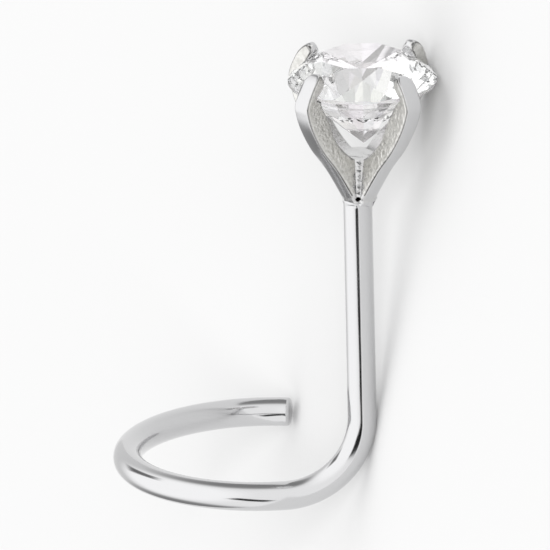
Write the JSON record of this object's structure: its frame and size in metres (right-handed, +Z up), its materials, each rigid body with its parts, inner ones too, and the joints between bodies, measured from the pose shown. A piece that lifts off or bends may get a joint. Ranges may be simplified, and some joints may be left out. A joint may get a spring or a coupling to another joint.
{
  "type": "nose stud",
  "caption": "Nose stud of the screw kind: a bent round wire post with an open hook and a claw head that holds a round brilliant-cut clear stone.",
  "frame": {"origin": "middle of the stud's footprint, on the surface that it lies on", "axes": "+X along the post towards the stone as it lies, +Y towards the hook's free end, +Z up"},
  "size_m": [0.0104, 0.0078, 0.0043],
  "materials": {
    "white_metal": "polished",
    "clear_stone": "polished"
  },
  "bodies": {
    "root": {"claw_post": "white_metal", "stone": "clear_stone"}
  },
  "joints": []
}
